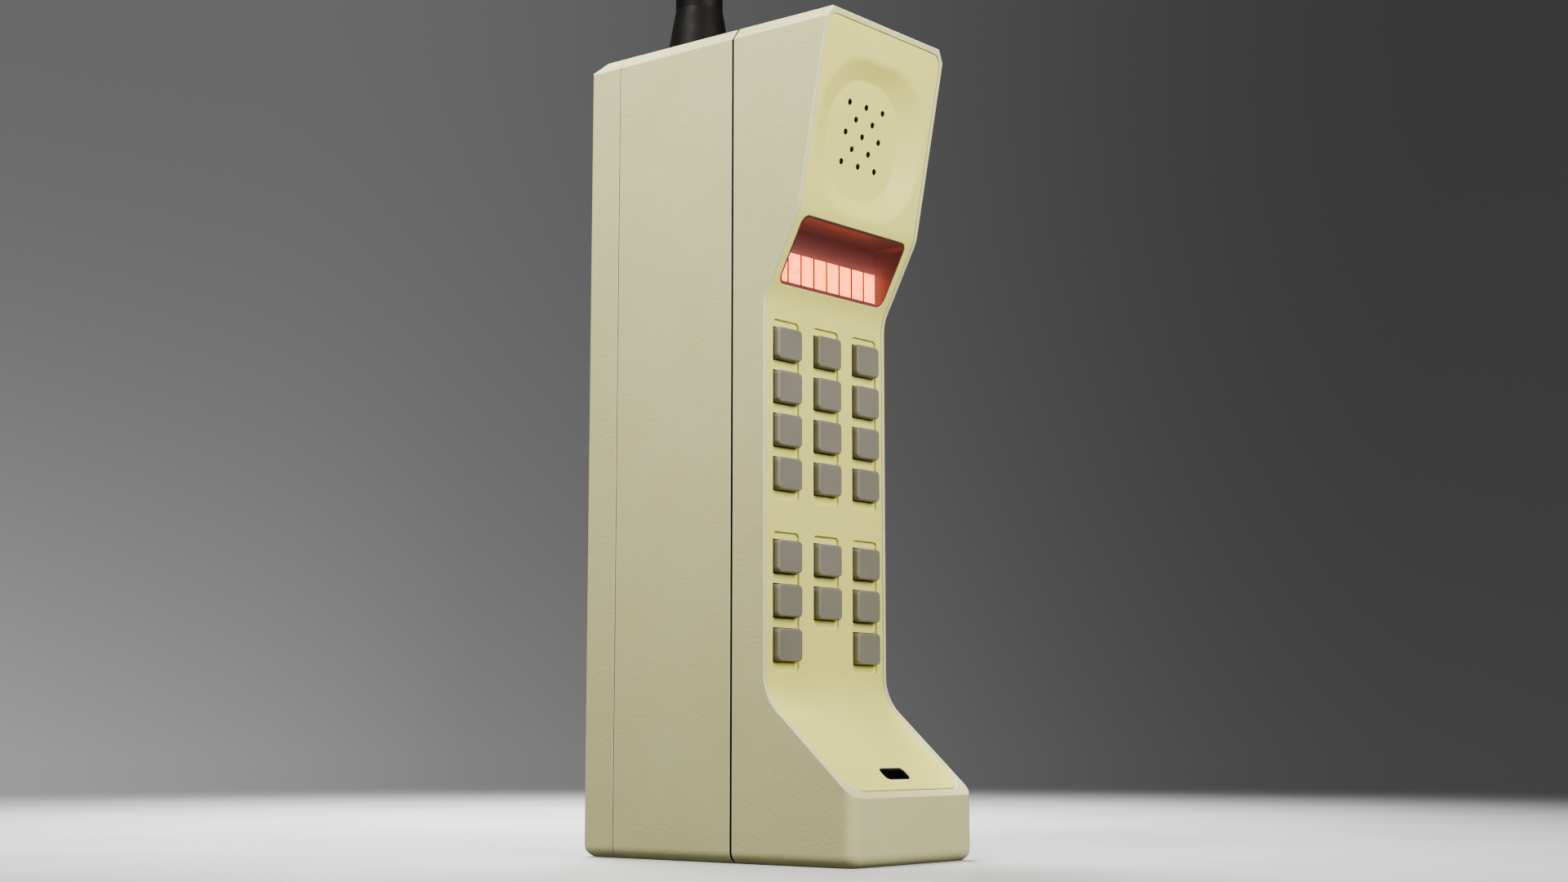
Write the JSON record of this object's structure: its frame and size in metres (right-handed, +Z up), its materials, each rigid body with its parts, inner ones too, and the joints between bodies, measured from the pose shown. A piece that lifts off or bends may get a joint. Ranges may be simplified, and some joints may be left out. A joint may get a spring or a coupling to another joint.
{
  "type": "hand-held mobile telephone",
  "caption": "Early brick-shaped mobile telephone with a flared rubber antenna, red lit display, square push keys and a removable battery pack on its back.",
  "frame": {"origin": "on the floor under the middle of the case", "axes": "+Z up along the case towards the antenna, -Y out of the keypad face, +X across the width"},
  "size_m": [0.0528, 0.0914, 0.33],
  "materials": {
    "shell": "fine leather grain",
    "plate": "smooth moulded",
    "gasket": "matte",
    "well": "dark red",
    "digits": "glowing red segments",
    "board": "solder resist",
    "foam": "foam",
    "steel": "plain",
    "paper": "pressed paper",
    "magnet": "ground",
    "rubber": "satin",
    "aluminium": "satin",
    "silicone": "matte",
    "chip": "matte",
    "brass": "plain",
    "tin": "tinned",
    "silver": "plated",
    "tray": "moulded",
    "cell": "sleeved",
    "latch": "ribbed",
    "key": "fine grain"
  },
  "bodies": {
    "housing": {"front_shell": "shell", "face_plate": "plate", "rear_shell": "shell", "shell_gasket": "gasket", "display_well": "well", "display_digits": "digits", "display_board": "board", "speaker_gasket": "foam", "speaker_frame": "steel", "speaker_cone": "paper", "speaker_magnet": "magnet", "microphone_boot": "rubber", "microphone_capsule": "aluminium", "keypad_mat": "silicone", "keypad_board": "board", "logic_board": "board", "radio_board": "board", "logic_chips": "chip", "board_spacers": "brass", "receiver_shield": "tin", "board_connector": "chip", "duplexer_filter": "silver", "power_amplifier": "silver", "heat_spreader": "aluminium", "ringer": "brass", "antenna_socket": "brass", "contact_block": "chip", "case_contacts": "brass", "case_screws": "steel", "coax_lead": "rubber"},
    "battery_pack": {"battery_case": "shell", "battery_lid": "tray", "battery_cells": "cell", "cell_straps": "tin", "battery_contacts": "brass", "latch_spring": "steel"},
    "latch_button": {"battery_latch": "latch"},
    "antenna": {"antenna_sleeve": "rubber", "antenna_stud": "brass", "antenna_rod": "steel"},
    "key_1": {"key_1": "key"},
    "key_4": {"key_4": "key"},
    "key_7": {"key_7": "key"},
    "key_star": {"key_star": "key"},
    "key_2": {"key_2": "key"},
    "key_5": {"key_5": "key"},
    "key_8": {"key_8": "key"},
    "key_0": {"key_0": "key"},
    "key_3": {"key_3": "key"},
    "key_6": {"key_6": "key"},
    "key_9": {"key_9": "key"},
    "key_hash": {"key_hash": "key"},
    "key_recall": {"key_recall": "key"},
    "key_send": {"key_send": "key"},
    "key_power": {"key_power": "key"},
    "key_clear": {"key_clear": "key"},
    "key_end": {"key_end": "key"},
    "key_store": {"key_store": "key"},
    "key_function": {"key_function": "key"},
    "key_volume": {"key_volume": "key"}
  },
  "joints": [
    {"name": "battery_slide", "type": "slide", "parent": "housing", "child": "battery_pack", "axis": [0, 1, 0], "range_m": [0, 0.04]},
    {"name": "latch_press", "type": "slide", "parent": "battery_pack", "child": "latch_button", "axis": [0, -1, 0], "range_m": [0, 0.0015], "stiffness_N_per_m": 900, "springref_m": -0.0006},
    {"name": "antenna_turn", "type": "hinge", "parent": "housing", "child": "antenna", "pos_m": [-0.0095, 0.02035, 0.22], "axis": [0, 0, 1], "continuous": true},
    {"name": "press_key_1", "type": "slide", "parent": "housing", "child": "key_1", "axis": [0, 1, 0], "range_m": [0, 0.0008], "stiffness_N_per_m": 700, "springref_m": -0.0004},
    {"name": "press_key_4", "type": "slide", "parent": "housing", "child": "key_4", "axis": [0, 1, 0], "range_m": [0, 0.0008], "stiffness_N_per_m": 700, "springref_m": -0.0004},
    {"name": "press_key_7", "type": "slide", "parent": "housing", "child": "key_7", "axis": [0, 1, 0], "range_m": [0, 0.0008], "stiffness_N_per_m": 700, "springref_m": -0.0004},
    {"name": "press_key_star", "type": "slide", "parent": "housing", "child": "key_star", "axis": [0, 1, 0], "range_m": [0, 0.0008], "stiffness_N_per_m": 700, "springref_m": -0.0004},
    {"name": "press_key_2", "type": "slide", "parent": "housing", "child": "key_2", "axis": [0, 1, 0], "range_m": [0, 0.0008], "stiffness_N_per_m": 700, "springref_m": -0.0004},
    {"name": "press_key_5", "type": "slide", "parent": "housing", "child": "key_5", "axis": [0, 1, 0], "range_m": [0, 0.0008], "stiffness_N_per_m": 700, "springref_m": -0.0004},
    {"name": "press_key_8", "type": "slide", "parent": "housing", "child": "key_8", "axis": [0, 1, 0], "range_m": [0, 0.0008], "stiffness_N_per_m": 700, "springref_m": -0.0004},
    {"name": "press_key_0", "type": "slide", "parent": "housing", "child": "key_0", "axis": [0, 1, 0], "range_m": [0, 0.0008], "stiffness_N_per_m": 700, "springref_m": -0.0004},
    {"name": "press_key_3", "type": "slide", "parent": "housing", "child": "key_3", "axis": [0, 1, 0], "range_m": [0, 0.0008], "stiffness_N_per_m": 700, "springref_m": -0.0004},
    {"name": "press_key_6", "type": "slide", "parent": "housing", "child": "key_6", "axis": [0, 1, 0], "range_m": [0, 0.0008], "stiffness_N_per_m": 700, "springref_m": -0.0004},
    {"name": "press_key_9", "type": "slide", "parent": "housing", "child": "key_9", "axis": [0, 1, 0], "range_m": [0, 0.0008], "stiffness_N_per_m": 700, "springref_m": -0.0004},
    {"name": "press_key_hash", "type": "slide", "parent": "housing", "child": "key_hash", "axis": [0, 1, 0], "range_m": [0, 0.0008], "stiffness_N_per_m": 700, "springref_m": -0.0004},
    {"name": "press_key_recall", "type": "slide", "parent": "housing", "child": "key_recall", "axis": [0, 1, 0], "range_m": [0, 0.0008], "stiffness_N_per_m": 700, "springref_m": -0.0004},
    {"name": "press_key_send", "type": "slide", "parent": "housing", "child": "key_send", "axis": [0, 1, 0], "range_m": [0, 0.0008], "stiffness_N_per_m": 700, "springref_m": -0.0004},
    {"name": "press_key_power", "type": "slide", "parent": "housing", "child": "key_power", "axis": [0, 1, 0], "range_m": [0, 0.0008], "stiffness_N_per_m": 700, "springref_m": -0.0004},
    {"name": "press_key_clear", "type": "slide", "parent": "housing", "child": "key_clear", "axis": [0, 1, 0], "range_m": [0, 0.0008], "stiffness_N_per_m": 700, "springref_m": -0.0004},
    {"name": "press_key_end", "type": "slide", "parent": "housing", "child": "key_end", "axis": [0, 1, 0], "range_m": [0, 0.0008], "stiffness_N_per_m": 700, "springref_m": -0.0004},
    {"name": "press_key_store", "type": "slide", "parent": "housing", "child": "key_store", "axis": [0, 1, 0], "range_m": [0, 0.0008], "stiffness_N_per_m": 700, "springref_m": -0.0004},
    {"name": "press_key_function", "type": "slide", "parent": "housing", "child": "key_function", "axis": [0, 1, 0], "range_m": [0, 0.0008], "stiffness_N_per_m": 700, "springref_m": -0.0004},
    {"name": "press_key_volume", "type": "slide", "parent": "housing", "child": "key_volume", "axis": [0, 1, 0], "range_m": [0, 0.0008], "stiffness_N_per_m": 700, "springref_m": -0.0004}
  ]
}
